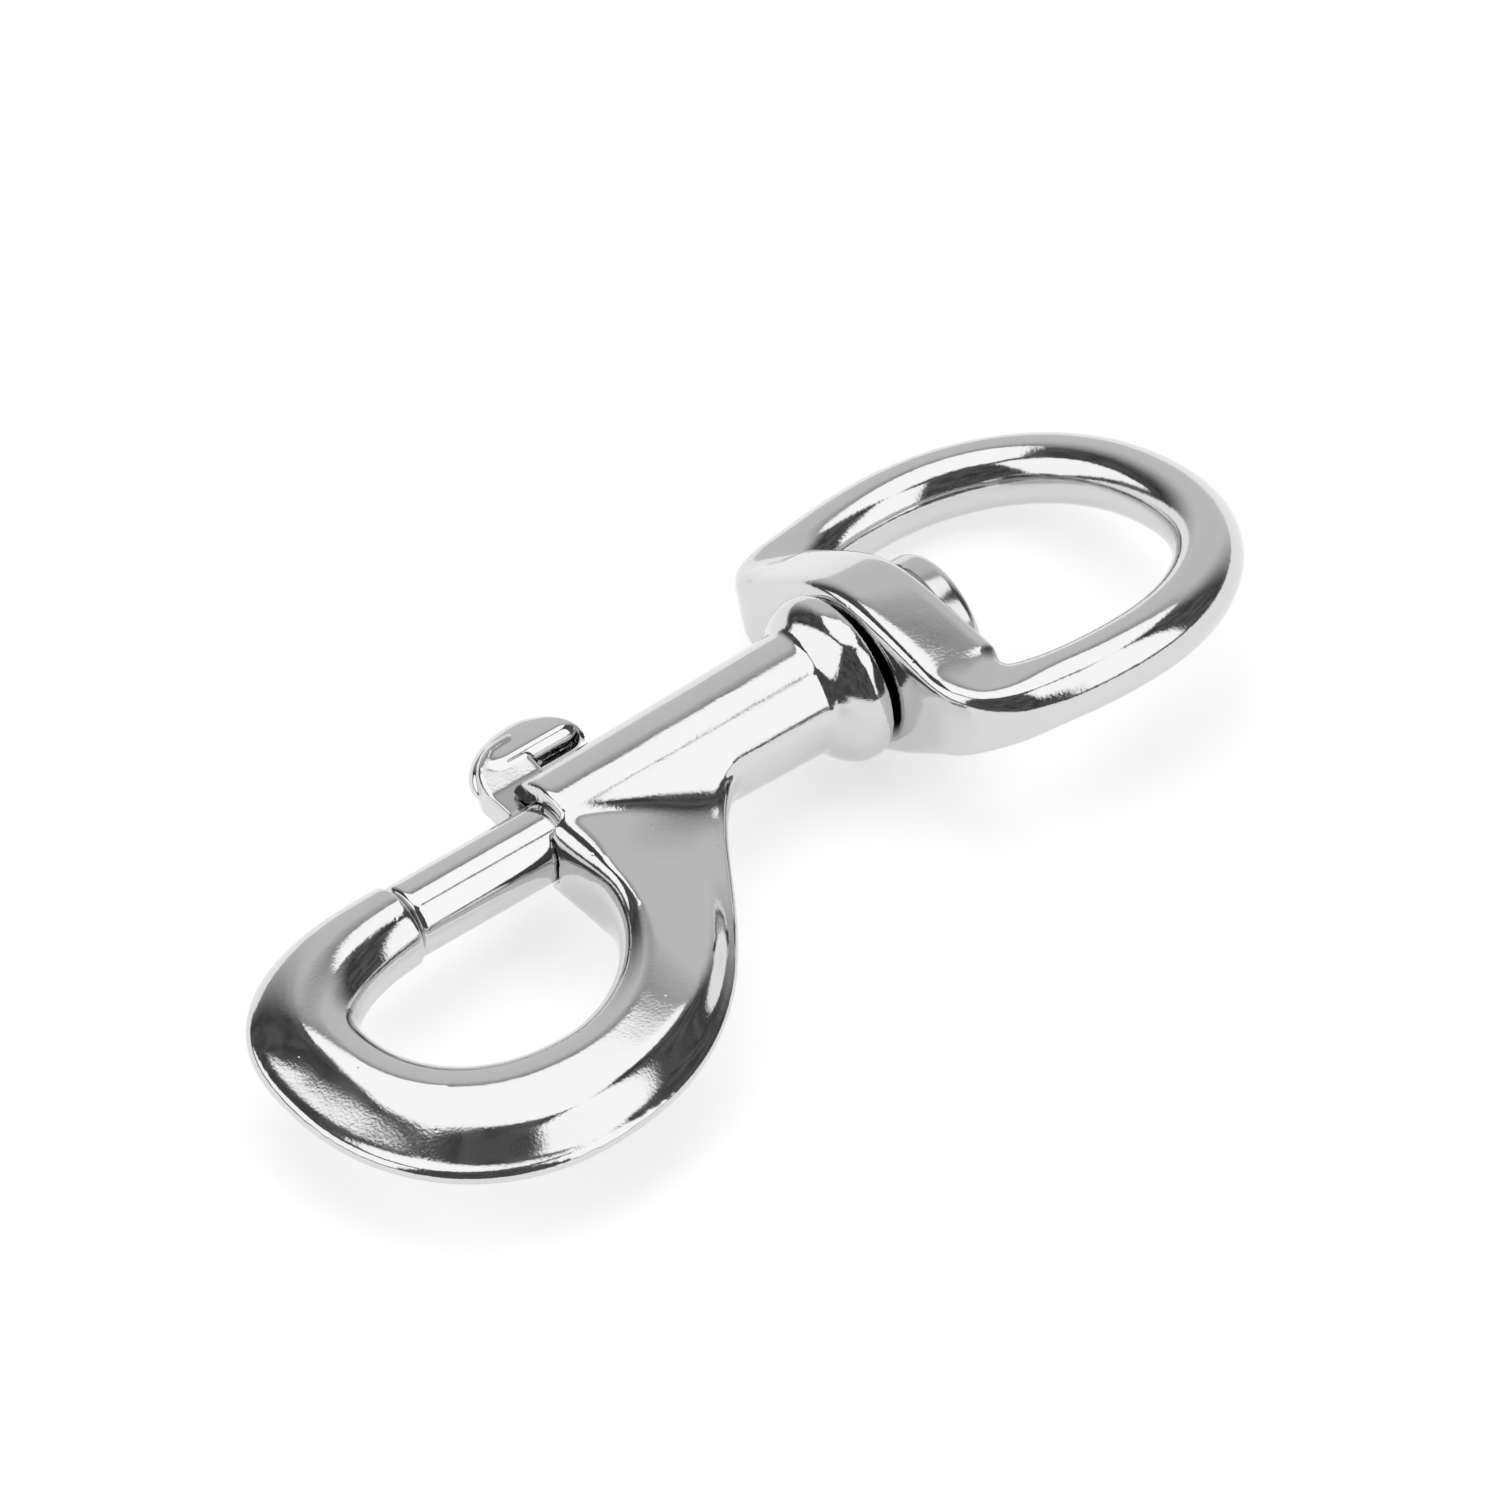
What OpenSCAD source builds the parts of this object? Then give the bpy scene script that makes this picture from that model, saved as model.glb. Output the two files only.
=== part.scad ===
// Swivel snap hook: a cast hook with a sprung bolt for a gate, and an eye that turns on a rivet.
// It lies on its side: the bolt and the swivel share the X axis, and the hook is flat in XY.
// The origin is the middle of the eye's opening, on that axis. The hook points to -X.

/* [Swivel eye] */
// Clear width inside the eye, for one inch webbing
eye_inner_w = 25.4; // [20:0.2:30]
// Length inside the eye from its widest place to the far end
eye_far_len = 12.5; // [10:0.1:16]
// Length inside the eye from its widest place to the crossbar
eye_near_len = 7.5; // [6.5:0.1:10]
// Thickness of the round wire of the eye
wire_d = 5.2; // [4.2:0.1:6]
// Thickness of the crossbar along the swivel's axis
crossbar_t = 6.4; // [5.4:0.1:8]
// Height of the crossbar at the rivet, across the axis
boss_d = 13.3; // [11.6:0.1:15]
// Corner radius where the arms turn into the crossbar
eye_corner_r = 3.7; // [3:0.1:4.5]
// Angle at which the eye lies when the hook rests on its side
eye_turn = -17; // [-30:1:30]

/* [Rivet] */
// Shank of the swivel rivet
rivet_d = 5; // [4.2:0.1:5.4]
// Head of the swivel rivet, inside the eye
rivet_head_d = 10.4; // [8:0.1:11]
// Height of that head
rivet_head_t = 2.3; // [1.5:0.1:3]
// Length of shank that is pressed into the barrel
rivet_seat_len = 3; // [2:0.1:4]

/* [Barrel] */
// Outside of the barrel at its mouth
barrel_mouth_d = 8.5; // [8.2:0.1:10]
// Outside of the barrel where the collar begins
barrel_back_d = 9.3; // [8.6:0.1:11]
// How far the barrel's outside stands off the bolt's axis, towards the knob
barrel_rise = 0.35; // [0.2:0.05:0.4]
// Length of the barrel with its collar
barrel_len = 26.5; // [25.5:0.5:32]
// Outside of the flared collar
collar_d = 12.8; // [11.5:0.1:15]
// Length of the flare
collar_len = 3.8; // [3:0.1:6]

/* [Bolt] */
// Thickness of the sprung bolt
bolt_d = 5.6; // [4.8:0.1:5.8]
// Gate: the stretch of bolt between the hook's nose and the barrel's mouth
gate_len = 13.4; // [12:0.1:15]
// Length of the bolt
bolt_len = 19.6; // [18.8:0.1:20.4]
// How far the thumb knob draws the bolt back
bolt_travel = 12.6; // [10:0.1:12.8]
// Thickness of the knob's stalk, which runs in the slot
stalk_t = 2.3; // [1.8:0.1:2.8]
// Length of the stalk along the bolt
stalk_len = 4.9; // [4:0.1:5]
// Distance from the bolt's tip to the stalk
stalk_start = 11.9; // [11.4:0.1:12.6]
// Height of the knob's crown above the bolt's axis
knob_h = 10.4; // [9.6:0.1:12]
// Depth of the knob's thumb piece
thumb_t = 3.2; // [2.8:0.1:3.4]
// Thickness of the thumb piece across the stalk
thumb_w = 3; // [2.8:0.1:3.4]
// Length of the thumb piece
thumb_len = 9.8; // [8:0.1:10]
// How far the knob's crown falls to the tip of the thumb piece
thumb_fall = 0.5; // [0:0.1:0.6]

/* [Hook] */
// Length of the nose, from its face to the inside of the bowl
nose_len = 8.9; // [7.5:0.1:11]
// Depth of the bowl below the bolt's axis
bowl_depth = 16.5; // [14:0.1:20]
// Width of metal behind the bowl
back_w = 8.4; // [7:0.1:9.5]
// Width of metal below the bowl
bottom_w = 9.6; // [8:0.1:11]
// Width of metal between the bowl and the barrel's mouth
throat_w = 1.4; // [0.8:0.1:2]
// Thickness of the nose
nose_d = 6.2; // [6:0.1:7]
// Thickness of the bowl and the shank at their crest
crest_t = 6.1; // [5:0.1:6.6]
// Thickness of the outer rim
rim_t = 1.3; // [0.9:0.1:1.8]
// Distance along the axis from the barrel's mouth to where the shank's back runs out
shank_root = 15.2; // [12:0.1:17]

/* [Spring] */
// Wire of the spring
spring_wire_d = 0.5; // [0.4:0.05:0.6]
// Turns of the spring
spring_turns = 7; // [5:1:8]

/* [Fits] */
// Clearance all round the bolt and the rivet's shank
turning_play = 0.08; // [0.05:0.01:0.1]
// Gaps at the two faces of the crossbar
side_play = 0.3; // [0.2:0.05:0.4]
// Clearance of the stalk on each side of its slot
slot_play = 0.2; // [0.15:0.05:0.3]
// Gap between the bolt's tip and the nose
tip_play = 0.1; // [0.05:0.05:0.2]
// Clearance round the spring
spring_play = 0.15; // [0.1:0.05:0.2]

/* [Hidden] */
$fn = 64;
over = 0.5;

// Stations along the axis, from the face of the nose
mouth_x = gate_len;
collar_x = mouth_x + barrel_len;
flare_x = collar_x - collar_len;
crossbar_x = collar_x + side_play;
crossbar_back_x = crossbar_x + crossbar_t;
head_x = crossbar_back_x + side_play;
eye_x = crossbar_back_x + eye_near_len;
tip_x = tip_play;
tail_x = tip_x + bolt_len;
stalk_x = tip_x + stalk_start;
slot_end_x = stalk_x + stalk_len + bolt_travel + slot_play;
rivet_end_x = collar_x - rivet_seat_len;

// Bore of the barrel, with a lead-in at its mouth where the bolt can be seen to sit loose
bore_r = bolt_d/2 + turning_play;
lead_r = bore_r + 0.4;
lead_len = 1.5;
edge_r = 0.7;
slot_w = stalk_t + 2*slot_play;
channel_len = 4;

// Outlines of the hook, in the plane of the bolt's axis
nose_r = nose_d/2;
crest_r = crest_t/2;
rim_r = rim_t/2;
bowl_right = mouth_x - throat_w;
bowl_cx = (bowl_right - nose_len)/2;
bowl_rx = (bowl_right + nose_len)/2;
bowl_cy = -nose_r - 4.6;
bowl_top = -nose_r - bowl_cy;
bowl_bottom = bowl_depth + bowl_cy;
back_x = -nose_len - back_w;
bottom_y = -bowl_depth - bottom_w;
back_r = 15.9;
back_cx = back_x + back_r;
back_cy = bottom_y + back_r;
back_rise = nose_r - back_cy;
root_x = mouth_x + shank_root;
root_y = barrel_rise - barrel_back_d/2 + 0.2;
root_handle = 7.4;
bottom_handle = 20.4;
root_share = 0.74;
back_stations = 26;
shank_stations = 14;
root_stations = 10;

// Fullness of those curves: 2 is an ellipse, and more is squarer
round_n = 2;
back_n = 2.6;
bottom_n = 2.12;
bowl_back_n = 2.2;
bowl_shank_n = 1.75;

// Profile of the section at each station of the hook
flank_steps = 5;
slope_steps = 7;
rim_steps = 2;
nose_edge = 0.3;
nose_crest_share = 0.4;
bowl_crest_share = 0.34;
throat_crest_w = 1.3;
root_crest_w = 2.2;
root_high = barrel_mouth_d/2 - 0.65;
root_rim = 1.4;
root_fillet = 2.5;
root_flank_n = 2.4;

// Top of the bowl: it falls gently from the crest to a rounded shoulder, and then steeply to the rim
top_slope = 0.15;
shoulder_n = 12;
nose_shoulder = 0.3;
bottom_shoulder = 0.62;
shank_shoulder = 0.8;
web_bulge = 1.2;
web_sag = 1.4;

// Wire path of the eye
wire_r = wire_d/2;
arm_w = eye_inner_w/2 + wire_r;
far_len = eye_far_len + wire_r;
bar_back = eye_near_len + crossbar_t/2;
side_reach = 20.6;
far_n = 2.15;
boss_r = boss_d/2;
bar_n = 7;
wire_sides = 20;

// Thumb knob: a stalk rounded all along its outline, and a wider thumb piece that is flat below
thumb_front_r = 4.8;
stalk_round = 0.3*stalk_t;
thumb_round = 0.4*thumb_w;
thumb_under_y = knob_h - thumb_t;
knob_sides = 16;

function mix(a, b, t) = a + (b - a)*t;
function clamp01(t) = min(1, max(0, t));
function ease(t, lo, hi) = let (k = clamp01((t - lo)/(hi - lo))) k*k*(3 - 2*k);
function power(v, n) = sign(v)*pow(abs(v), 2/n);
function power_angle(v, n) = acos(sign(v)*pow(abs(v), n/2));
function bezier(a, b, c, d, t) =
    pow(1 - t, 3)*a + 3*pow(1 - t, 2)*t*b + 3*(1 - t)*t*t*c + t*t*t*d;

// A closed skin over rings of equal length; a loop joins its last ring to its first
module skin(rings, loop = false) {
    n = len(rings[0]);
    m = len(rings);
    last = loop ? m - 1 : m - 2;
    walls = [for (i = [0:last], j = [0:n - 1])
        let (a = i*n + j, b = i*n + (j + 1)%n, k = ((i + 1)%m)*n)
        each [[a, k + (j + 1)%n, b], [a, k + j, k + (j + 1)%n]]];
    ends = loop ? [] : [[for (j = [0:n - 1]) j], [for (j = [n - 1:-1:0]) (m - 1)*n + j]];
    polyhedron(points = [for (r = rings, p = r) p], faces = concat(walls, ends), convexity = 8);
}

// Inner edge of the hook: nose, bowl and throat
function bowl_point(a) =
    let (n = a < 180 ? round_n : a < 270 ? bowl_back_n : bowl_shank_n)
    [bowl_cx + bowl_rx*power(cos(a), n), bowl_cy + (a > 180 ? bowl_bottom : bowl_top)*power(sin(a), n)];
nose_in_a = power_angle(-bowl_cx/bowl_rx, round_n);

// Outer edge of the hook: the back from the nose to the bottom, and then the shank
function outer_back(a) =
    let (n = a < 180 ? back_n : bottom_n)
    [back_cx + back_r*power(cos(a), n), back_cy + (a < 180 ? back_rise : back_r)*power(sin(a), n)];
nose_out_a = power_angle(-back_cx/back_r, back_n);
function outer_shank(t) =
    bezier([back_cx, bottom_y], [back_cx + bottom_handle, bottom_y],
           [root_x - root_handle, root_y], [root_x, root_y], t);

// Stations from the nose (0) over the bottom (1) and the throat (2) to the barrel (3)
stations = concat(
    [for (i = [1:back_stations]) i/back_stations],
    [for (i = [1:shank_stations]) 1 + i/shank_stations],
    [for (i = [1:root_stations]) 2 + i/root_stations]);
function inner_edge(s) =
    s <= 1 ? bowl_point(mix(nose_in_a, 270, s))
    : s <= 2 ? bowl_point(mix(270, 360, s - 1))
    : [bowl_right - 0.2*(s - 2), mix(bowl_cy, -bolt_d/4, s - 2)];
function outer_edge(s) =
    s <= 1 ? outer_back(mix(nose_out_a, 270, s))
    : s <= 2 ? outer_shank(root_share*(s - 1))
    : outer_shank(mix(root_share, 1, s - 2));

// Height of the shank's surface where it runs up to the barrel in a hollow fillet
function barrel_r(x) = mix(barrel_mouth_d, barrel_back_d, clamp01((x - mouth_x)/(flare_x - mouth_x)))/2;
function filleted(x, y, h) =
    let (r = barrel_r(x), k = r + root_fillet, run = sqrt(max(0, k*k - pow(h + root_fillet, 2))),
         d = max(abs(y - barrel_rise), run*r/k))
    d >= run ? h : h + root_fillet - sqrt(root_fillet*root_fillet - pow(run - d, 2));

// Share of the height left at v, where a gentle slope meets a steep one in a rounded shoulder at k
function soft_min(a, b) = -ln(exp(-shoulder_n*a) + exp(-shoulder_n*b))/shoulder_n;
function shouldered(v, k, fall) =
    let (steep = (1 - fall)/(1 - k), top = soft_min(1, steep), foot = soft_min(1 - fall/k, 0))
    (soft_min(1 - fall*v/k, steep*(1 - v)) - foot)/(top - foot);

// Half thickness of the hook over its width, from the inner edge to the rim
function nose_profile(w, t) = [w/2*(1 - cos(180*t)), nose_r*sin(180*t)];
function section(s) =
    let (
        a = inner_edge(s), b = outer_edge(s), w = norm(b - a), d = (b - a)/w,
        bowl = ease(s, 0.5, 1.05), web = ease(s, 1.3, 2), root = ease(s, 1.95, 2.7),
        high = mix(mix(nose_r, crest_r, bowl), root_high, ease(s, 1, 2.6)),
        bowl_crest = w*mix(nose_crest_share, bowl_crest_share, bowl),
        crest = mix(mix(bowl_crest, throat_crest_w, web), root_crest_w, root),
        rim = mix(rim_r, root_rim, ease(s, 2, 3)),
        run = w - crest - rim,
        k = mix(mix(nose_shoulder, bottom_shoulder, bowl), shank_shoulder, ease(s, 1.05, 1.6)),
        fall = min(0.9, k*run*top_slope/(high - rim)),
        flank_n = mix(round_n, root_flank_n, root),
        flank = [for (i = [0:flank_steps - 1])
            let (q = 90*i/flank_steps) [crest*(1 - power(cos(q), flank_n)), high*power(sin(q), flank_n)]],
        slope = [for (i = [0:slope_steps - 1])
            let (v = i/slope_steps, u = crest + run*v,
                 share = mix(shouldered(v, k, fall), pow(1 - pow(v, web_bulge), web_sag), web),
                 h = rim + (high - rim)*share, p = a + d*u)
            [u, s > 2 && p.x > mouth_x ? filleted(p.x, p.y, h) : h]],
        edge = [for (i = [0:rim_steps - 1])
            let (q = 90*i/rim_steps) [crest + run + rim*sin(q), rim*cos(q)]],
        flat = concat(flank, slope, edge),
        n = len(flat),
        upper = [for (i = [0:n - 1]) mix(nose_profile(w, i/n), flat[i], ease(s, 0.05, 0.6))],
        ring = concat(upper, [[w, 0]], [for (i = [n - 1:-1:1]) [upper[i].x, -upper[i].y]])
    )
    [for (p = ring) [a.x + d.x*p.x, a.y + d.y*p.x, p.y]];

// The nose ends in a flat face with a small rounding
nose_ring = section(0);
nose_mid = (inner_edge(0).y + outer_edge(0).y)/2;
function nose_face(k, x) = [for (p = nose_ring) [x, nose_mid + (p.y - nose_mid)*k, p.z*k]];

module hook_casting() {
    skin(concat(
        [nose_face(1 - nose_edge/nose_r, 0), nose_face(1, -nose_edge)],
        [for (s = stations) section(s)]));
}

module turned(profile) {
    rotate([0, 90, 0]) rotate([0, 0, 90]) rotate_extrude() polygon(profile);
}

// Profiles are [radius, station]; the turned solid runs along +X.
// The tube stands a little off the axis, and the flare and its collar are true to it.
module barrel() {
    mouth_r = barrel_mouth_d/2;
    flare_r = barrel_back_d/2;
    neck_r = flare_r - barrel_rise;
    lap = 1;
    collar_r = collar_d/2;
    collar_rim = 0.9;
    collar_edge = 0.3;
    flare_steps = 6;
    translate([0, barrel_rise, 0]) turned(concat(
        [[0, mouth_x]],
        [for (q = [0:15:90]) [mouth_r - edge_r*(1 - sin(q)), mouth_x + edge_r*(1 - cos(q))]],
        [[flare_r, flare_x], [flare_r, flare_x + lap], [0, flare_x + lap]]));
    turned(concat(
        [[0, flare_x - lap], [neck_r, flare_x]],
        [for (i = [1:flare_steps]) let (v = i/flare_steps)
            [mix(neck_r, collar_r, sin(90*v)), mix(flare_x, collar_x - collar_rim, v)]],
        [[collar_r, collar_x - collar_edge], [collar_r - collar_edge, collar_x], [0, collar_x]]));
}

module slot() {
    translate([mouth_x - over, 0, -slot_w/2]) cube([slot_end_x - mouth_x + over, collar_d, slot_w]);
}

// The bore runs from the mouth to the rivet; the rivet's seat goes on to the collar
module bores() {
    turned([[0, mouth_x - channel_len], [lead_r, mouth_x - channel_len], [lead_r, mouth_x],
            [bore_r, mouth_x + lead_len], [bore_r, rivet_end_x], [rivet_d/2, rivet_end_x],
            [rivet_d/2, collar_x + over], [0, collar_x + over]]);
}

module hook_body() color([0.74, 0.75, 0.77]) in_place() {
    difference() {
        union() {
            barrel();
            hook_casting();
        }
        bores();
        slot();
    }
}

// Outlines of the knob, on its middle plane
module stalk_outline() {
    intersection() {
        translate([stalk_x, 0]) square([stalk_len, knob_h]);
        union() {
            translate([stalk_x, 0]) square([stalk_len, knob_h - thumb_front_r]);
            translate([stalk_x + thumb_front_r, knob_h - thumb_front_r]) circle(thumb_front_r);
        }
    }
}

module thumb_outline() {
    tip_r = (thumb_t + thumb_round)/2;
    front_x = stalk_x + thumb_front_r/3;
    hull() {
        translate([front_x + tip_r, knob_h - tip_r]) circle(tip_r);
        translate([stalk_x + thumb_len - tip_r, knob_h - tip_r - thumb_fall]) circle(tip_r);
    }
}

module rounded_plate(thick, edge) {
    minkowski() {
        linear_extrude(thick - 2*edge, center = true) offset(-edge) children();
        sphere(edge, $fn = knob_sides);
    }
}

module knob() {
    rounded_plate(stalk_t, stalk_round) stalk_outline();
    difference() {
        rounded_plate(thumb_w, thumb_round) thumb_outline();
        translate([stalk_x, thumb_under_y - thumb_t, -thumb_w]) cube([thumb_len, thumb_t, 2*thumb_w]);
    }
}

module bolt() color([0.78, 0.79, 0.81]) in_place() {
    chamfer = 0.5;
    turned([[0, tip_x], [bolt_d/2 - chamfer, tip_x], [bolt_d/2, tip_x + chamfer],
            [bolt_d/2, tail_x - chamfer], [bolt_d/2 - chamfer, tail_x], [0, tail_x]]);
    knob();
}

module bolt_spring() color([0.6, 0.6, 0.62]) in_place() {
    wire = spring_wire_d/2;
    mean_r = rivet_d/2 - spring_play - wire;
    start_x = tail_x + spring_play + wire;
    end_x = rivet_end_x - spring_play - wire;
    steps = 12*spring_turns;
    skin([for (i = [0:steps])
        let (t = i/steps, a = 360*spring_turns*t)
        [for (q = [0:60:300])
            [mix(start_x, end_x, t) + wire*sin(q),
             (mean_r + wire*cos(q))*cos(a),
             (mean_r + wire*cos(q))*sin(a)]]]);
}

module swivel_rivet() color([0.7, 0.71, 0.73]) in_place() {
    head_r = rivet_head_d/2;
    head_round = 0.8;
    top_x = head_x + rivet_head_t;
    turned(concat(
        [[0, rivet_end_x], [rivet_d/2, rivet_end_x], [rivet_d/2, head_x], [head_r, head_x]],
        [for (q = [0:15:90]) [head_r - head_round*(1 - cos(q)), top_x - head_round*(1 - sin(q))]],
        [[0, top_x]]));
}

// Half of the eye's centre line, from the middle of the far end to the middle of the crossbar
function side_y(x) = arm_w*sqrt(1 - pow(x/side_reach, 2));
function side_normal(x) = atan2(side_y(x)/(arm_w*arm_w), -x/(side_reach*side_reach));
function corner_start(x, n) =
    n == 0 ? x : corner_start(bar_back - eye_corner_r*(1 + cos(side_normal(x))), n - 1);
corner_x = corner_start(bar_back - eye_corner_r, 12);
corner_a = side_normal(corner_x);
corner_c = [-bar_back + eye_corner_r, side_y(corner_x) - eye_corner_r*sin(corner_a)];
far_path = [for (a = [0:5:90]) [far_len*power(cos(a), far_n), arm_w*power(sin(a), far_n)]];
side_path = [for (i = [1:6]) let (x = corner_x*i/7) [-x, side_y(x)]];
corner_path = [for (i = [0:6])
    let (a = mix(corner_a, 180, i/6)) corner_c + eye_corner_r*[cos(a), sin(a)]];
bar_path = [for (i = [1:10]) [-bar_back, corner_c.y*(1 - i/10)]];
half_path = concat(far_path, side_path, corner_path, bar_path);
other_half = [for (i = [len(half_path) - 2:-1:1]) [half_path[i].x, -half_path[i].y]];
eye_path = concat(half_path, other_half);

// The crossbar is highest at the rivet and falls on both sides to the wire's own height
flank_run = [wire_r, eye_inner_w/2];
flank_lean = atan2(flank_run.y, flank_run.x) - acos(boss_r/norm(flank_run));
function bar_share(p) = p.x > -bar_back/2 ? 0 : 1 - ease(abs(p.y), 0.68*side_y(corner_x), 1.02*side_y(corner_x));
function bar_half_height(y) =
    abs(y) < boss_r*sin(flank_lean) ? sqrt(boss_r*boss_r - y*y)
    : boss_r*cos(flank_lean) - (abs(y) - boss_r*sin(flank_lean))*tan(flank_lean);
function wire_ring(i) =
    let (
        n = len(eye_path), p = eye_path[i],
        t = eye_path[(i + 1)%n] - eye_path[(i + n - 1)%n],
        out = [t.y, -t.x]/norm(t),
        bar = bar_share(p),
        half_w = mix(wire_r, crossbar_t/2, bar),
        half_h = mix(wire_r, bar_half_height(p.y), bar),
        square_n = mix(round_n, bar_n, bar)
    )
    [for (j = [0:wire_sides - 1])
        let (q = -360*j/wire_sides, u = half_w*power(cos(q), square_n), z = half_h*power(sin(q), square_n))
        [p.x + out.x*u, p.y + out.y*u, z]];

module swivel_eye() color([0.76, 0.77, 0.79]) rotate([eye_turn, 0, 0]) {
    difference() {
        skin([for (i = [0:len(eye_path) - 1]) wire_ring(i)], loop = true);
        translate([-bar_back - crossbar_t, 0, 0]) rotate([0, 90, 0])
            cylinder(h = 2*crossbar_t, r = rivet_d/2 + turning_play);
    }
}

// Everything but the eye is laid out from the nose, and then moved to the eye's middle
module in_place() {
    translate([-eye_x, 0, 0]) children();
}

hook_body();
bolt();
bolt_spring();
swivel_rivet();
swivel_eye();
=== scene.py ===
import math
import bpy
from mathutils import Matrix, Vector


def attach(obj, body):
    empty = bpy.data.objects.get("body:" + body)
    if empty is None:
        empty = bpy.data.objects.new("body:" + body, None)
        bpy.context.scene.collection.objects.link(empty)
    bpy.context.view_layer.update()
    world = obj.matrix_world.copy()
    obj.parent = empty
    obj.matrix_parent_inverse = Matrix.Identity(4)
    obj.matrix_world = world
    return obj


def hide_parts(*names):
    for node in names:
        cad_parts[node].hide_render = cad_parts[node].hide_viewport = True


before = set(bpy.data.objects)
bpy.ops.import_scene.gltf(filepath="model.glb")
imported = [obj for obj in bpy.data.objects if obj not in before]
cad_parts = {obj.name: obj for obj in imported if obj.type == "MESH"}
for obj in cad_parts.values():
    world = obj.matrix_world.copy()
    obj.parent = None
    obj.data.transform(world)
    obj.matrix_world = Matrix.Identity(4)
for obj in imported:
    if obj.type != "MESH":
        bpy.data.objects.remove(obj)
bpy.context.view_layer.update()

# Lengths below are in millimetres along the bolt's axis from the nose's face, as on a drawing
mm = 0.001
noseX = -54.1  # where that face stands in the frame


# Small helpers

def mix(a, b, t):
    return a + (b - a) * t


def clamp(t):
    return min(1.0, max(0.0, t))


def ease(t, low, high):
    k = clamp((t - low) / (high - low))
    return k * k * (3 - 2 * k)


def rounder(v, fullness):
    return math.copysign(abs(v) ** (2 / fullness), v)


def deselectAll():
    if bpy.context.object and bpy.context.object.mode != "OBJECT":
        bpy.ops.object.mode_set(mode="OBJECT")
    bpy.ops.object.select_all(action="DESELECT")


def takeNew(name):
    piece = bpy.context.active_object
    piece.name = name
    piece.data.name = name
    return piece


def pick(piece):
    deselectAll()
    piece.select_set(True)
    bpy.context.view_layer.objects.active = piece


def chooseFaces(piece, wanted):
    # goes into edit mode with only the wanted faces selected
    pick(piece)
    bpy.ops.object.mode_set(mode="EDIT")
    bpy.ops.mesh.select_mode(type="FACE")
    bpy.ops.mesh.select_all(action="DESELECT")
    bpy.ops.object.mode_set(mode="OBJECT")
    for polygon in piece.data.polygons:
        polygon.select = wanted(polygon)
    bpy.ops.object.mode_set(mode="EDIT")


def chooseEdges(piece, wanted):
    # the same for the edges whose two ends are both wanted
    pick(piece)
    bpy.ops.object.mode_set(mode="EDIT")
    bpy.ops.mesh.select_mode(type="EDGE")
    bpy.ops.mesh.select_all(action="DESELECT")
    bpy.ops.object.mode_set(mode="OBJECT")
    for edge in piece.data.edges:
        edge.select = all(wanted(piece.data.vertices[v].co) for v in edge.vertices)
    bpy.ops.object.mode_set(mode="EDIT")


def modify(piece, kind, **settings):
    pick(piece)
    modifier = piece.modifiers.new(kind.title(), kind)
    for key, value in settings.items():
        setattr(modifier, key, value)
    bpy.ops.object.modifier_apply(modifier=modifier.name)


def closeAndTurnOut(piece, gap=0.00001):
    pick(piece)
    bpy.ops.object.mode_set(mode="EDIT")
    bpy.ops.mesh.select_all(action="SELECT")
    bpy.ops.mesh.remove_doubles(threshold=gap)
    bpy.ops.mesh.dissolve_degenerate(threshold=gap / 2)
    bpy.ops.mesh.normals_make_consistent(inside=False)
    bpy.ops.object.mode_set(mode="OBJECT")


def shapedGrid(name, columns, rows, place):
    # a grid primitive whose points are moved on to the surface that place(across, along) gives, both 0 to 1
    deselectAll()
    bpy.ops.mesh.primitive_grid_add(x_subdivisions=columns, y_subdivisions=rows, size=1)
    piece = takeNew(name)
    for vertex in piece.data.vertices:
        across, along = vertex.co.x + 0.5, vertex.co.y + 0.5
        x, y, z = place(across, along)
        vertex.co = Vector((x + noseX, y, z)) * mm
    closeAndTurnOut(piece)
    return piece


def turnedPiece(name, profile, sides, rise=0.0):
    # profile is (radius, station) from one end to the other; a circle is drawn out along it
    deselectAll()
    radius, station = profile[0]
    bpy.ops.mesh.primitive_circle_add(vertices=sides, radius=radius * mm, fill_type="NGON",
                                      location=((station + noseX) * mm, rise * mm, 0), rotation=(0, math.pi / 2, 0))
    piece = takeNew(name)
    bpy.ops.object.transform_apply(location=True, rotation=True, scale=True)
    bpy.ops.object.mode_set(mode="EDIT")
    bpy.ops.mesh.select_all(action="SELECT")
    for nextRadius, nextStation in profile[1:]:
        middle = ((nextStation + noseX) * mm, rise * mm, 0)
        bpy.ops.mesh.extrude_region_move(TRANSFORM_OT_translate={"value": ((nextStation - station) * mm, 0, 0)})
        grow = nextRadius / radius
        bpy.ops.transform.resize(value=(1, grow, grow), center_override=middle)
        radius, station = nextRadius, nextStation
    bpy.ops.mesh.select_all(action="SELECT")
    bpy.ops.mesh.normals_make_consistent(inside=False)
    bpy.ops.object.mode_set(mode="OBJECT")
    return piece


def arcOf(radius, middleRadius, middleStation, start, end, steps):
    return [(middleRadius + radius * math.sin(math.radians(mix(start, end, i / steps))),
             middleStation - radius * math.cos(math.radians(mix(start, end, i / steps)))) for i in range(steps + 1)]


def smoothShade(piece, angle=180):
    pick(piece)
    if angle >= 180:
        bpy.ops.object.shade_smooth()
    else:
        bpy.ops.object.shade_smooth_by_angle(angle=math.radians(angle))


def joinPieces(first, *others):
    pick(first)
    for other in others:
        other.select_set(True)
    bpy.ops.object.join()
    return bpy.context.active_object


def cutAway(piece, cutter):
    modify(piece, "BOOLEAN", object=cutter, operation="DIFFERENCE", solver="EXACT")
    bpy.data.objects.remove(cutter, do_unlink=True)


def settle(piece, voxel, passes):
    # one even skin over what was joined and cut, with its edges rounded as a casting's are
    modify(piece, "REMESH", mode="VOXEL", voxel_size=voxel * mm, use_smooth_shade=True)
    modify(piece, "SMOOTH", factor=0.5, iterations=passes)
    smoothShade(piece)


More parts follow.
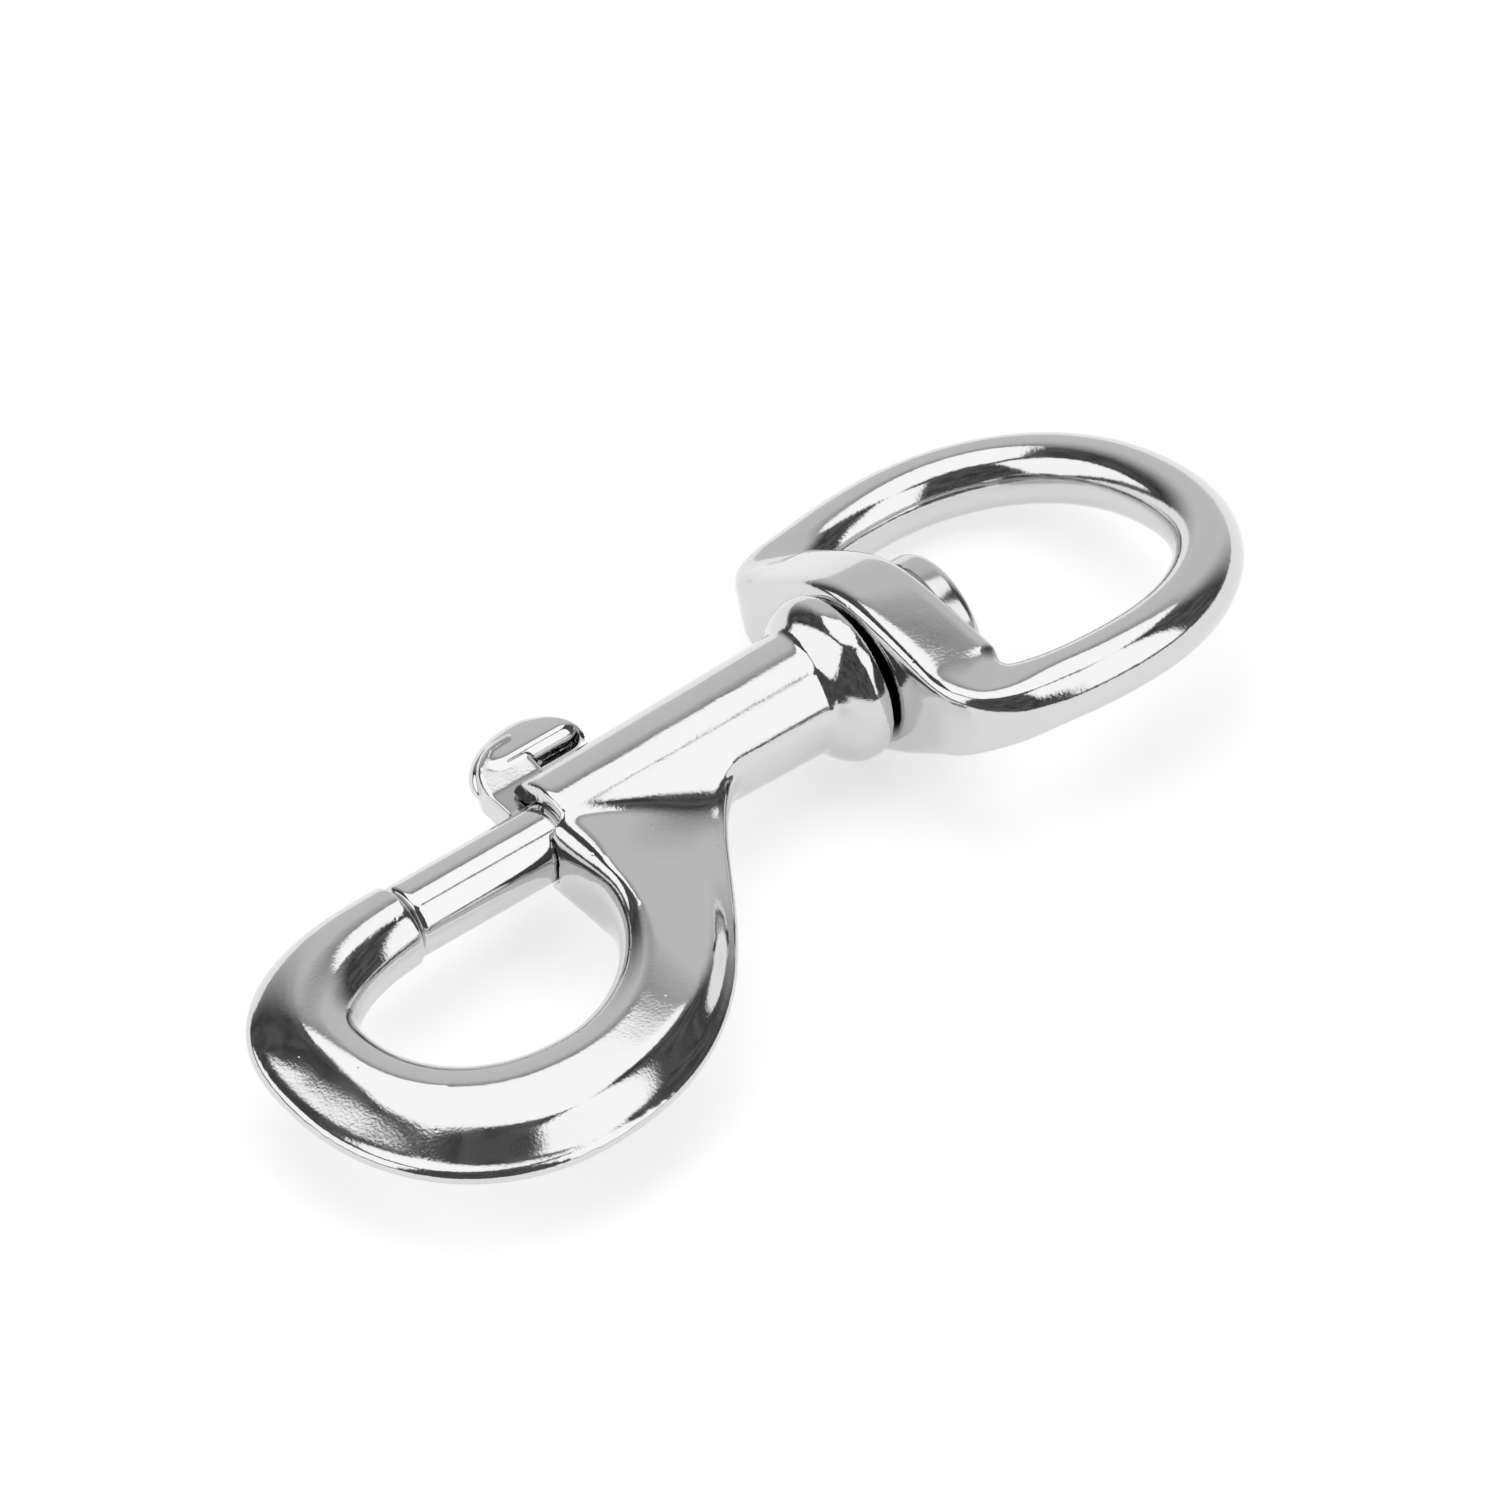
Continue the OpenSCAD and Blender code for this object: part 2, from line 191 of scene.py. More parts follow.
# Camera, set first because every look is compared with the photograph

view = {"azimuth": 38.8, "elevation": 45.4, "frameWidth": 105.75, "distance": 1.6,
        "noseToMiddle": (24.68, 12.34)}


def addCamera():
    a, e = math.radians(view["azimuth"]), math.radians(view["elevation"])
    right = Vector((math.cos(a), -math.sin(a), 0))
    up = Vector((math.sin(a) * math.sin(e), math.cos(a) * math.sin(e), math.cos(e)))
    towards = Vector((-math.sin(a) * math.cos(e), -math.cos(a) * math.cos(e), math.sin(e)))
    middle = (Vector((noseX, 0, 0)) + right * view["noseToMiddle"][0] + up * view["noseToMiddle"][1]) * mm
    data = bpy.data.cameras.new("camera")
    data.sensor_width = 36
    data.lens = 36 * view["distance"] / (view["frameWidth"] * mm)
    data.clip_end = 50
    camera = bpy.data.objects.new("camera", data)
    bpy.context.scene.collection.objects.link(camera)
    camera.location = middle + towards * view["distance"]
    camera.rotation_euler = towards.to_track_quat("Z", "Y").to_euler()
    bpy.context.scene.camera = camera


addCamera()
print("stage 1: camera set")


# The hook's casting

hook = {"mouth": 13.4, "barrelLength": 26.5, "flareLength": 3.8, "mouthWide": 8.5, "backWide": 9.3, "collarWide": 12.8,
        "barrelRise": 0.35, "mouthEdge": 0.4, "boreEdge": 0.12, "collarEdge": 0.3,
        "noseLength": 8.9, "noseThick": 6.2, "noseEdge": 0.3, "bowlDepth": 16.5, "backWidth": 8.4, "bottomWidth": 9.6,
        "throat": 1.4, "crestThick": 6.1, "rimThick": 1.3, "rootLength": 15.2, "rootFillet": 2.5, "rootRim": 1.4,
        "noseCrest": 0.4, "bowlCrest": 0.34, "throatCrest": 1.3, "rootCrest": 2.2,
        "noseShoulder": 0.3, "bottomShoulder": 0.62, "shankShoulder": 0.8, "shoulderSharp": 12, "topSlope": 0.15,
        "boltWide": 5.6, "play": 0.08, "slotWide": 2.7, "slotEnd": 29.7, "rivetEnd": 36.9, "rivetShank": 5.0,
        "facing": 0.13, "voxel": 0.205, "smoothing": 4}

mouthR, flareR, collarR = hook["mouthWide"] / 2, hook["backWide"] / 2, hook["collarWide"] / 2
collarX = hook["mouth"] + hook["barrelLength"]
flareX = collarX - hook["flareLength"]
noseR = hook["noseThick"] / 2
bowlRight = hook["mouth"] - hook["throat"]
bowlMidX, bowlHalf = (bowlRight - hook["noseLength"]) / 2, (bowlRight + hook["noseLength"]) / 2
bowlMidY = -noseR - 4.6
bottomY = -hook["bowlDepth"] - hook["bottomWidth"]
backR = 15.9
backMidX = -hook["noseLength"] - hook["backWidth"] + backR
backMidY = bottomY + backR
rootX, rootY = hook["mouth"] + hook["rootLength"], hook["barrelRise"] - flareR + 0.2


def startAngle(v, fullness):
    return math.degrees(math.acos(math.copysign(abs(v) ** (fullness / 2), v)))


noseInAngle = startAngle(-bowlMidX / bowlHalf, 2)
noseOutAngle = startAngle(-backMidX / backR, 2.6)


def bowlPoint(angle):
    fullness = 2 if angle < 180 else 2.2 if angle < 270 else 1.75
    c, s = math.cos(math.radians(angle)), math.sin(math.radians(angle))
    reach = hook["bowlDepth"] + bowlMidY if angle > 180 else -noseR - bowlMidY
    return Vector((bowlMidX + bowlHalf * rounder(c, fullness), bowlMidY + reach * rounder(s, fullness)))


def backPoint(angle):
    fullness = 2.6 if angle < 180 else 2.12
    c, s = math.cos(math.radians(angle)), math.sin(math.radians(angle))
    reach = noseR - backMidY if angle < 180 else backR
    return Vector((backMidX + backR * rounder(c, fullness), backMidY + reach * rounder(s, fullness)))


def shankPoint(t):
    corners = [Vector((backMidX, bottomY)), Vector((backMidX + 20.4, bottomY)),
               Vector((rootX - 7.4, rootY)), Vector((rootX, rootY))]
    return (corners[0] * (1 - t) ** 3 + corners[1] * 3 * t * (1 - t) ** 2
            + corners[2] * 3 * t * t * (1 - t) + corners[3] * t ** 3)


def innerEdge(s):
    if s <= 1:
        return bowlPoint(mix(noseInAngle, 270, s))
    if s <= 2:
        return bowlPoint(mix(270, 360, s - 1))
    return Vector((bowlRight - 0.2 * (s - 2), mix(bowlMidY, -1.4, s - 2)))


def outerEdge(s):
    if s <= 1:
        return backPoint(mix(noseOutAngle, 270, s))
    if s <= 2:
        return shankPoint(0.74 * (s - 1))
    return shankPoint(mix(0.74, 1, s - 2))


def barrelRadius(x):
    return mix(mouthR, flareR, clamp((x - hook["mouth"]) / (flareX - hook["mouth"])))


def filleted(x, y, h):
    # the shank runs up to the barrel in a hollow fillet
    r, f = barrelRadius(x), hook["rootFillet"]
    k = r + f
    run = math.sqrt(max(0, k * k - (h + f) ** 2))
    d = max(abs(y - hook["barrelRise"]), run * r / k)
    return h if d >= run else h + f - math.sqrt(max(0, f * f - (run - d) ** 2))


def softMin(a, b):
    n = hook["shoulderSharp"]
    return -math.log(math.exp(-n * a) + math.exp(-n * b)) / n


def shouldered(v, k, fall):
    # share of the height left at v: a gentle slope meets a steep one in a rounded shoulder at k
    steep = (1 - fall) / (1 - k)
    top, foot = softMin(1, steep), softMin(1 - fall / k, 0)
    return (softMin(1 - fall * v / k, steep * (1 - v)) - foot) / (top - foot)


def halfProfile(s, t):
    # (distance from the inner edge, half thickness) of the section at station s; t runs from inner edge to rim
    a, b = innerEdge(s), outerEdge(s)
    width = (b - a).length
    towards = (b - a) / width
    bowl, web, root = ease(s, 0.5, 1.05), ease(s, 1.3, 2), ease(s, 1.95, 2.7)
    high = mix(mix(noseR, hook["crestThick"] / 2, bowl), mouthR - 0.65, ease(s, 1, 2.6))
    bowlCrest = width * mix(hook["noseCrest"], hook["bowlCrest"], bowl)
    crest = mix(mix(bowlCrest, hook["throatCrest"], web), hook["rootCrest"], root)
    rim = mix(hook["rimThick"] / 2, hook["rootRim"], ease(s, 2, 3))
    run = width - crest - rim
    if t < 0.38:
        q = math.radians(90 * t / 0.38)
        full = mix(2, 2.4, root)
        flat = (crest * (1 - rounder(math.cos(q), full)), high * rounder(math.sin(q), full))
    elif t < 0.84:
        v = (t - 0.38) / 0.46
        k = mix(mix(hook["noseShoulder"], hook["bottomShoulder"], bowl), hook["shankShoulder"], ease(s, 1.05, 1.6))
        fall = min(0.9, k * run * hook["topSlope"] / (high - rim))
        share = mix(shouldered(v, k, fall), (1 - v ** 1.2) ** 1.4, web)
        h = rim + (high - rim) * share
        p = a + towards * (crest + run * v)
        flat = (crest + run * v, filleted(p.x, p.y, h) if s > 2 and p.x > hook["mouth"] else h)
    else:
        q = math.radians(90 * (t - 0.84) / 0.16)
        flat = (crest + run + rim * math.sin(q), rim * math.cos(q))
    around = math.radians(180 * t)
    bead = (width / 2 * (1 - math.cos(around)), noseR * math.sin(around))
    blend = ease(s, 0.05, 0.6)
    u, z = mix(bead[0], flat[0], blend), mix(bead[1], flat[1], blend)
    return a + towards * u, z


def hookSurface(across, along):
    # along runs from the nose's face to the root in the barrel; across goes once round the section
    t = 2 * across if across <= 0.5 else 2 - 2 * across
    side = 1 if across <= 0.5 else -1
    s = 3 * clamp((along - 0.02) / 0.96)
    p, z = halfProfile(s, t)
    if along < 0.02:  # the nose's flat face, with its small rounding
        middle = (innerEdge(0).y + outerEdge(0).y) / 2
        k = clamp(along / 0.012)
        small = 1 - hook["noseEdge"] / noseR if along < 0.0125 else 1
        x = 0.0 if along < 0.0125 else -hook["noseEdge"] * 0.8
        p = Vector((x, mix(middle, p.y, k * small)))
        z *= k * small
    if along > 0.98:
        middle = (innerEdge(3) + outerEdge(3)) / 2
        k = clamp((1 - along) / 0.02)
        p, z = middle + (p - middle) * k, z * k
    return p.x, p.y, z * side


def buildBarrel():
    mouth, edge = hook["mouth"], hook["mouthEdge"]
    tube = turnedPiece("tube", (
        [(0.5, mouth)] + arcOf(edge, mouthR - edge, mouth + edge, 0, 90, 8)
        + [(mix(mouthR, flareR, k / 8), mix(mouth + edge, flareX, k / 8)) for k in range(1, 9)]
        + [(flareR, flareX + 1), (0.5, flareX + 1)]), 160, hook["barrelRise"])
    neckR, small = flareR - hook["barrelRise"], hook["collarEdge"]
    flare = turnedPiece("flare", (
        [(0.5, flareX - 1), (neckR - 1, flareX - 1), (neckR, flareX)]
        + [(mix(neckR, collarR, math.sin(math.radians(90 * k / 12))), mix(flareX, collarX - 0.9, k / 12))
           for k in range(1, 13)]
        + [(collarR, collarX - small)] + arcOf(small, collarR - small, collarX - small, 90, 180, 4)
        + [(0.5, collarX)]), 160)
    return joinPieces(tube, flare)


def buildHook():
    casting = joinPieces(shapedGrid("hookCasting", 84, 340, hookSurface), buildBarrel())
    casting.name = "hookCasting"
    modify(casting, "REMESH", mode="VOXEL", voxel_size=hook["voxel"] * mm)
    boreR = hook["boltWide"] / 2 + hook["play"]
    cutAway(casting, turnedPiece("bore", [
        (boreR + hook["boreEdge"], hook["mouth"] - 4), (boreR + hook["boreEdge"], hook["mouth"]),
        (boreR, hook["mouth"] + 0.4), (boreR, hook["rivetEnd"])], 64))
    cutAway(casting, turnedPiece("seat", [(hook["rivetShank"] / 2, hook["rivetEnd"] - 1),
                                          (hook["rivetShank"] / 2, collarX + 1)], 64))
    deselectAll()
    slotFrom, slotTo = hook["mouth"] - 1, hook["slotEnd"]
    bpy.ops.mesh.primitive_cube_add(size=1, location=(((slotFrom + slotTo) / 2 + noseX) * mm, 6 * mm, 0),
                                    scale=((slotTo - slotFrom) * mm, 12 * mm, hook["slotWide"] * mm))
    slot = takeNew("slot")
    bpy.ops.object.transform_apply(location=True, rotation=True, scale=True)
    cutAway(casting, slot)
    settle(casting, hook["voxel"], hook["smoothing"])
    # the mouth's face is cut flat again, above where the shank joins it
    deselectAll()
    bpy.ops.mesh.primitive_cube_add(size=1, location=((hook["mouth"] + hook["facing"] - 1 + noseX) * mm, 3.6 * mm, 0),
                                    scale=(2 * mm, 6 * mm, 10 * mm))
    facing = takeNew("facing")
    bpy.ops.object.transform_apply(location=True, rotation=True, scale=True)
    cutAway(casting, facing)
    smoothShade(casting, 50)
    return casting


hookCasting = buildHook()
print("stage 2: hook cast,", len(hookCasting.data.polygons), "faces")


# The bolt with its thumb knob

boltBar = {"wide": 5.6, "tip": 0.1, "length": 19.4, "edge": 0.6, "stalkFrom": 12.0, "stalkTo": 16.9,
           "stalkThick": 2.3, "stalkFlare": 1.22, "stalkEdge": 0.35, "slotTop": 5.0,
           "crown": 10.5, "crownAt": 18.0, "frontDrop": 4.0, "backDrop": 4.4, "widestAt": 7.2, "under": 5.9,
           "thumbTo": 21.7, "thumbWide": 3.2, "voxel": 0.11, "smoothing": 7}


def thumbSurface(across, along):
    # along runs from the knob's front to its tip; across goes once round the section, a dome over a keel
    front, tip, crownAt = boltBar["stalkFrom"] + 0.05, boltBar["thumbTo"], boltBar["crownAt"]
    x = mix(front, tip, (1 - math.cos(math.pi * clamp(along))) / 2)
    reach, drop = (crownAt - front, boltBar["frontDrop"]) if x < crownAt else (tip - crownAt, boltBar["backDrop"])
    top = boltBar["crown"] - drop * (1 - math.sqrt(max(0, 1 - ((x - crownAt) / reach) ** 2)))
    end = math.sqrt(max(0, 1 - max(0, (x - (tip - 1.5)) / 1.5) ** 2))
    widest = min(boltBar["widestAt"], mix(top, boltBar["under"], 0.3))
    halfWide = mix(0.8 * boltBar["stalkThick"] / 2, boltBar["thumbWide"] / 2, ease(x, front, front + 3.0))
    halfWide *= math.sqrt(clamp((x - front) / 0.8)) * (0.2 + 0.8 * end)
    under = mix(widest, boltBar["under"], mix(0.3, 1, end))
    if min(along, 1 - along) < 0.001:  # each end closes in a point
        return x, widest, 0
    a = math.tau * across
    if math.sin(a) >= 0:
        return x, widest + (top - widest) * rounder(math.sin(a), 2), halfWide * rounder(math.cos(a), 2)
    return x, widest + (widest - under) * rounder(math.sin(a), 1.6), halfWide * rounder(math.cos(a), 1.6)


def buildStalk():
    # a bar up through the slot, then drawn out wider towards the thumb piece, with a rounded front
    x0, x1, half = boltBar["stalkFrom"], boltBar["stalkTo"], boltBar["stalkThick"] / 2
    foot, neck, head = 1.0, boltBar["slotTop"], 8.9
    deselectAll()
    bpy.ops.mesh.primitive_cube_add(size=1, location=(((x0 + x1) / 2 + noseX) * mm, (foot + neck) / 2 * mm, 0),
                                    scale=((x1 - x0) * mm, (neck - foot) * mm, 2 * half * mm))
    stalk = takeNew("stalk")
    bpy.ops.object.transform_apply(location=True, rotation=True, scale=True)
    chooseFaces(stalk, lambda polygon: polygon.normal.y > 0.9)
    bpy.ops.mesh.extrude_region_move(TRANSFORM_OT_translate={"value": (0, (head - neck) * mm, 0)})
    flare = 1 + (boltBar["stalkFlare"] - 1) * (head - neck) / (boltBar["widestAt"] - neck)
    bpy.ops.transform.resize(value=(1, 1, flare), center_override=((x0 + noseX) * mm, head * mm, 0))
    bpy.ops.object.mode_set(mode="OBJECT")
    chooseEdges(stalk, lambda point: point.y > 8 * mm and point.x < (x0 + 1 + noseX) * mm)  # the upper front edge
    bpy.ops.mesh.bevel(offset=3.9 * mm, segments=16)
    bpy.ops.object.mode_set(mode="OBJECT")
    modify(stalk, "BEVEL", width=boltBar["stalkEdge"] * mm, segments=4, limit_method="ANGLE",
           angle_limit=math.radians(40))
    return stalk


def buildBolt():
    half, edge = boltBar["wide"] / 2, boltBar["edge"]
    tip, tail = boltBar["tip"], boltBar["tip"] + boltBar["length"]
    bar = turnedPiece("boltBar", ([(0.4, tip)] + arcOf(edge, half - edge, tip + edge, 0, 90, 8)
                                  + [(half, tip + (tail - tip) * k / 10) for k in range(1, 10)]
                                  + arcOf(edge, half - edge, tail - edge, 90, 180, 8) + [(0.4, tail)]), 128)
    thumb = shapedGrid("thumb", 64, 110, thumbSurface)
    bar = joinPieces(bar, buildStalk(), thumb)
    bar.name = "boltBar"
    settle(bar, boltBar["voxel"], boltBar["smoothing"])
    return bar


boltPiece = buildBolt()
print("stage 3: bolt made,", len(boltPiece.data.polygons), "faces")


# The swivel eye

eye = {"innerWide": 25.4, "farLength": 12.5, "nearLength": 7.5, "wire": 5.19, "barThick": 6.4, "bossHigh": 13.3,
       "corner": 3.7, "bossRound": 4.0, "turn": -17, "sideReach": 20.6, "farFullness": 2.15, "barFullness": 6, "rivetHole": 2.58}

wireR = eye["wire"] / 2
armWide = eye["innerWide"] / 2 + wireR
farReach = eye["farLength"] + wireR
barBack = eye["nearLength"] + eye["barThick"] / 2
eyeX = -noseX  # the eye's middle, measured from the nose


def sideY(x):
    return armWide * math.sqrt(1 - (x / eye["sideReach"]) ** 2)


def sideNormal(x):
    return math.degrees(math.atan2(sideY(x) / armWide ** 2, -x / eye["sideReach"] ** 2))


cornerX = barBack - eye["corner"]
for attempt in range(12):
    cornerX = barBack - eye["corner"] * (1 + math.cos(math.radians(sideNormal(cornerX))))
cornerFrom = sideNormal(cornerX)
cornerMiddle = Vector((-barBack + eye["corner"], sideY(cornerX) - eye["corner"] * math.sin(math.radians(cornerFrom))))


def eyeLine():
    # the middle line of half the eye, from its far end to the middle of the crossbar
    line = [Vector((farReach * rounder(math.cos(math.radians(q)), eye["farFullness"]),
                    armWide * rounder(math.sin(math.radians(q)), eye["farFullness"]))) for q in range(0, 91, 1)]
    line += [Vector((-cornerX * k / 40, sideY(cornerX * k / 40))) for k in range(1, 40)]
    for k in range(41):
        q = math.radians(mix(cornerFrom, 180, k / 40))
        line.append(cornerMiddle + eye["corner"] * Vector((math.cos(q), math.sin(q))))
    line += [Vector((-barBack, cornerMiddle.y * (1 - k / 60))) for k in range(1, 61)]
    return line


def resampled(line, count):
    lengths = [0]
    for p, q in zip(line, line[1:]):
        lengths.append(lengths[-1] + (q - p).length)
    points, k = [], 0
    for i in range(count + 1):
        want = lengths[-1] * i / count
        while k < len(line) - 2 and lengths[k + 1] < want:
            k += 1
        span = lengths[k + 1] - lengths[k]
        points.append(line[k].lerp(line[k + 1], clamp((want - lengths[k]) / span)))
    return points


def barHalfHigh(y):
    # a rounded boss in the middle that falls off towards the arms
    boss, r, half = eye["bossHigh"] / 2, eye["bossRound"], eye["innerWide"] / 2
    fall = (boss - wireR) / (math.hypot(half, r) - r)
    return boss - fall * (math.hypot(y, r) - r)


def buildEye():
    half = resampled(eyeLine(), 150)
    loop = half + [Vector((p.x, -p.y)) for p in reversed(half[1:-1])]
    count, sides = len(loop), 64
    deselectAll()
    bpy.ops.mesh.primitive_torus_add(major_segments=count, minor_segments=sides, major_radius=1, minor_radius=0.25)
    ring = takeNew("swivelEyeLoop")
    turn = math.radians(eye["turn"])
    side = sideY(cornerX)
    for vertex in ring.data.vertices:
        x, y, z = vertex.co
        i = round(math.atan2(y, x) / math.tau * count) % count
        q = math.atan2(z, math.hypot(x, y) - 1)
        p = loop[i]
        along = (loop[(i + 1) % count] - loop[i - 1]).normalized()
        out = Vector((along.y, -along.x))
        bar = 0 if p.x > -barBack / 2 else 1 - ease(abs(p.y), 0.8 * side, 1.06 * side)
        halfWide = mix(wireR, eye["barThick"] / 2, bar)
        halfHigh = mix(wireR, barHalfHigh(p.y), bar)
        fullness = mix(2, eye["barFullness"], bar)
        flat = p + out * halfWide * rounder(math.cos(q), fullness)
        high = halfHigh * rounder(math.sin(q), fullness)
        vertex.co = Vector((flat.x, flat.y * math.cos(turn) - high * math.sin(turn),
                            flat.y * math.sin(turn) + high * math.cos(turn))) * mm
    hole = turnedPiece("rivetHole", [(eye["rivetHole"], eyeX - barBack - 5), (eye["rivetHole"], eyeX - barBack + 5)], 64)
    cutAway(ring, hole)
    closeAndTurnOut(ring, 0.000002)
    smoothShade(ring, 50)
    return ring


eyeLoop = buildEye()
print("stage 4: eye bent,", len(eyeLoop.data.polygons), "faces")


# The rivet

rivet = {"from": 36.9, "shank": 5.0, "headFrom": 46.9, "headWide": 10.4, "headHigh": 2.3, "edge": 0.8}


def buildRivet():
    head, top = rivet["headWide"] / 2, rivet["headFrom"] + rivet["headHigh"]
    shank, edge = rivet["shank"] / 2, rivet["edge"]
    piece = turnedPiece("rivetPin", (
        [(0.3, rivet["from"]), (shank - 0.2, rivet["from"]), (shank, rivet["from"] + 0.2)]
        + [(shank, mix(rivet["from"] + 0.2, rivet["headFrom"], k / 4)) for k in range(1, 5)]
        + [(head - 0.25, rivet["headFrom"]), (head, rivet["headFrom"] + 0.25)]
        + arcOf(edge, head - edge, top - edge, 90, 180, 8)
        + [(head * 0.5, top - 0.02), (0.3, top)]), 96)
    smoothShade(piece, 35)
    return piece


rivetPin = buildRivet()
print("stage 5: rivet made")


# Metals

finishes = {
    "casting": {"colour": 0.66, "roughness": 0.06, "mottle": 0.05, "grain": 0.3, "wave": 0.25, "pits": 0.4},
    "bolt": {"colour": 0.67, "roughness": 0.05, "mottle": 0.04, "grain": 0.12, "wave": 0.12, "pits": 0.15},
    "eye": {"colour": 0.66, "roughness": 0.06, "mottle": 0.05, "grain": 0.3, "wave": 0.25, "pits": 0.3},
    "rivet": {"colour": 0.62, "roughness": 0.10, "mottle": 0.06, "grain": 0.2, "wave": 0.2, "pits": 0.3},
    "wire": {"colour": 0.50, "roughness": 0.28, "mottle": 0.08, "grain": 0.1, "wave": 0.0, "pits": 0.0},
}


def addNode(tree, kind, **settings):
    # a setting is a socket's value where the node has a socket of that name, and otherwise a property
    node = tree.nodes.new(kind)
    for key, value in settings.items():
        if key in node.inputs:
            node.inputs[key].default_value = value
        else:
            setattr(node, key, value)
    return node


def calculate(tree, operation, *values, clampTo1=False):
    # a Math node whose inputs are numbers or other nodes' outputs
    node = addNode(tree, "ShaderNodeMath", operation=operation, use_clamp=clampTo1)
    for socket, value in zip(node.inputs, values):
        if isinstance(value, (int, float)):
            socket.default_value = value
        else:
            tree.links.new(value, socket)
    return node.outputs["Value"]


def rangeOf(tree, value, low, high, start=0.0, end=1.0, smooth=False):
    node = addNode(tree, "ShaderNodeMapRange", interpolation_type="SMOOTHSTEP" if smooth else "LINEAR")
    for name, setting in (("From Min", low), ("From Max", high), ("To Min", start), ("To Max", end)):
        node.inputs[name].default_value = setting
    tree.links.new(value, node.inputs["Value"])
    return node.outputs["Result"]


def platedMetal(name):
    look = finishes[name]
    material = bpy.data.materials.new(name + "Plate")
    material.use_nodes = True
    tree = material.node_tree
    shader = tree.nodes["Principled BSDF"]
    shader.inputs["Metallic"].default_value = 1.0
    place = addNode(tree, "ShaderNodeTexCoord")
    patches = addNode(tree, "ShaderNodeTexNoise", Scale=260.0, Detail=3.0)
    grain = addNode(tree, "ShaderNodeTexNoise", Scale=4200.0, Detail=4.0)
    waves = addNode(tree, "ShaderNodeTexNoise", Scale=420.0, Detail=1.0)
    pits = addNode(tree, "ShaderNodeTexVoronoi", Scale=900.0)
    for texture in (patches, grain, waves, pits):
        tree.links.new(place.outputs["Object"], texture.inputs["Vector"])
    mottled = rangeOf(tree, patches.outputs["Fac"], 0.35, 0.65, look["roughness"], look["roughness"] + look["mottle"])
    tree.links.new(mottled, shader.inputs["Roughness"])
    tone = addNode(tree, "ShaderNodeValToRGB")
    for stop, share in zip(tone.color_ramp.elements, (0.95, 1.0)):
        stop.color = (*[look["colour"] * share] * 3, 1)
    tree.links.new(patches.outputs["Fac"], tone.inputs["Fac"])
    tree.links.new(tone.outputs["Color"], shader.inputs["Base Color"])
    # sparse small casting pits: only the middles of a few cells
    split = addNode(tree, "ShaderNodeSeparateColor")
    tree.links.new(pits.outputs["Color"], split.inputs["Color"])
    sparse = calculate(tree, "GREATER_THAN", split.outputs["Red"], 0.93)
    hollow = rangeOf(tree, pits.outputs["Distance"], 0.0, 0.16, -1.0, 0.0, smooth=True)
    last = None
    for height, strength, depth in ((waves.outputs["Fac"], look["wave"], 0.00006),
                                    (grain.outputs["Fac"], look["grain"], 0.00002),
                                    (calculate(tree, "MULTIPLY", hollow, sparse), look["pits"], 0.00004)):
        if strength == 0:
            continue
        bump = addNode(tree, "ShaderNodeBump", Strength=strength, Distance=depth)
        tree.links.new(height, bump.inputs["Height"])
        if last:
            tree.links.new(last.outputs["Normal"], bump.inputs["Normal"])
        last = bump
    tree.links.new(last.outputs["Normal"], shader.inputs["Normal"])
    return material


def finishPiece(piece, look, body, node):
    piece.data.materials.clear()
    piece.data.materials.append(platedMetal(look))
    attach(piece, body)
    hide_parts(node)


finishPiece(hookCasting, "casting", "hook", "hook_body")
finishPiece(boltPiece, "bolt", "bolt", "bolt")
finishPiece(eyeLoop, "eye", "eye", "swivel_eye")
finishPiece(rivetPin, "rivet", "hook", "swivel_rivet")
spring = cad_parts["bolt_spring"]
spring.data.materials.clear()
spring.data.materials.append(platedMetal("wire"))
smoothShade(spring, 60)
print("stage 6: metals set")


# Floor and studio: soft boxes all round a small table, seen only in the metal

studio = {"floor": -7.12, "floorTone": 0.8, "floorGlow": 0.5, "pale": 1.0, "gap": (0.05, 0.13), "gapScale": 9.0,
          # screens: the light is inside every line (a, b, c), where a * right + b * away + c is above 0;
          # right and away are the slopes of a direction from straight up, as the camera sees the table
          "overhead": {"lines": ((1, 0, 0.55), (-1, 0, 0.57), (-0.28, 1, 0.241), (0, -1, 0.71),
                                 (0.61, 0.79, 0.41)),
                       "lowest": 10, "bright": 1.42, "soft": 0.03},
          "leftBox": {"lines": ((-0.6, -1, -0.6), (-1, -0.606, -0.565), (-1.4, 1, 0)),
                      "lowest": 8, "bright": 1.4, "soft": 0.03},
          "rightBox": {"lines": ((0.873, -0.489, -0.497), (-0.1, -1, 0.1), (0.95, 1, 0)),
                       "lowest": 5, "bright": 1.42, "soft": 0.05},
          # grey wall: azimuth and elevation of its edges, and its tone by elevation, in degrees
          "backdrop": {"azimuth": (5, 88), "elevation": (-5, 60), "soft": 45,
                       "tones": ((0, 0.75), (40, 0.72), (50, 0.45), (57, 0.12))}}


def addFloor():
    deselectAll()
    bpy.ops.mesh.primitive_grid_add(x_subdivisions=8, y_subdivisions=8, size=6, location=(0, 0, studio["floor"] * mm))
    floor = takeNew("floor")
    bpy.ops.object.transform_apply(location=True, rotation=True, scale=True)
    paper = bpy.data.materials.new("paper")
    paper.use_nodes = True
    shader = paper.node_tree.nodes["Principled BSDF"]
    shader.inputs["Base Color"].default_value = (studio["floorTone"],) * 3 + (1,)
    shader.inputs["Roughness"].default_value = 0.9
    shader.inputs["Specular IOR Level"].default_value = 0.1
    shader.inputs["Emission Color"].default_value = (1, 1, 1, 1)
    shader.inputs["Emission Strength"].default_value = studio["floorGlow"]
    floor.data.materials.append(paper)


